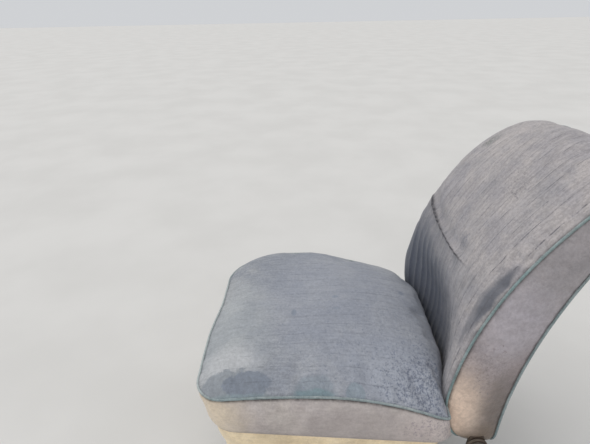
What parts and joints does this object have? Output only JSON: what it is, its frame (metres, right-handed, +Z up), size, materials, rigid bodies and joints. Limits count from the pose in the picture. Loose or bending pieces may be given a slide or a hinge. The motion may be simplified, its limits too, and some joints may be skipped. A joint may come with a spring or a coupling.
{
  "type": "vehicle front seat",
  "caption": "Front seat of a light off-road vehicle: pleated cushion and backrest on a tube frame, with reclining hinges and slide rails on a floor stand.",
  "frame": {"origin": "centre of the four floor bolts, on the floor under the feet", "axes": "+X to the seat's left side, -Y the way the seat faces, +Z up"},
  "size_m": [0.5, 0.732, 0.7528],
  "materials": {
    "blue_grey_cover": "matte",
    "tan_cover": "matte",
    "rear_panel_cover": "matte",
    "spring_wire": "satin",
    "slide_steel": "satin",
    "hinge_steel": "satin",
    "lever_steel": "satin",
    "black_grip": "matte",
    "green_paint": "satin"
  },
  "bodies": {
    "floor_stand": {"front_cross_tube": "green_paint", "left_floor_strip": "green_paint", "left_rail": "slide_steel", "left_stand_hoop": "green_paint", "rear_cross_tube": "green_paint", "right_floor_strip": "green_paint", "right_rail": "slide_steel", "right_stand_hoop": "green_paint"},
    "seat_frame": {"cushion_box": "tan_cover", "cushion_pad": "blue_grey_cover", "front_frame_tube": "green_paint", "left_frame_tube": "green_paint", "left_front_cradle": "green_paint", "left_hinge_bracket": "hinge_steel", "left_pivot_bolt": "hinge_steel", "left_rear_cradle": "green_paint", "left_runner": "slide_steel", "rear_frame_tube": "green_paint", "recliner_grip": "black_grip", "recliner_lever": "lever_steel", "right_frame_tube": "green_paint", "right_front_cradle": "green_paint", "right_hinge_bracket": "hinge_steel", "right_pivot_bolt": "hinge_steel", "right_rear_cradle": "green_paint", "right_runner": "slide_steel", "seat_springs": "spring_wire", "slide_lever": "lever_steel", "slide_lever_grip": "black_grip", "spring_clips": "spring_wire"},
    "backrest": {"backrest_pad": "blue_grey_cover", "backrest_panel": "rear_panel_cover", "left_hinge_arm": "hinge_steel", "right_hinge_arm": "hinge_steel"}
  },
  "joints": [
    {"name": "seat_slide", "type": "slide", "parent": "floor_stand", "child": "seat_frame", "axis": [0, 1, 0], "range_m": [-0.06, 0.06]},
    {"name": "backrest_recline", "type": "hinge", "parent": "seat_frame", "child": "backrest", "pos_m": [0, 0.247, 0.2098], "axis": [1, 0, 0], "range_deg": [-28, 0]}
  ]
}
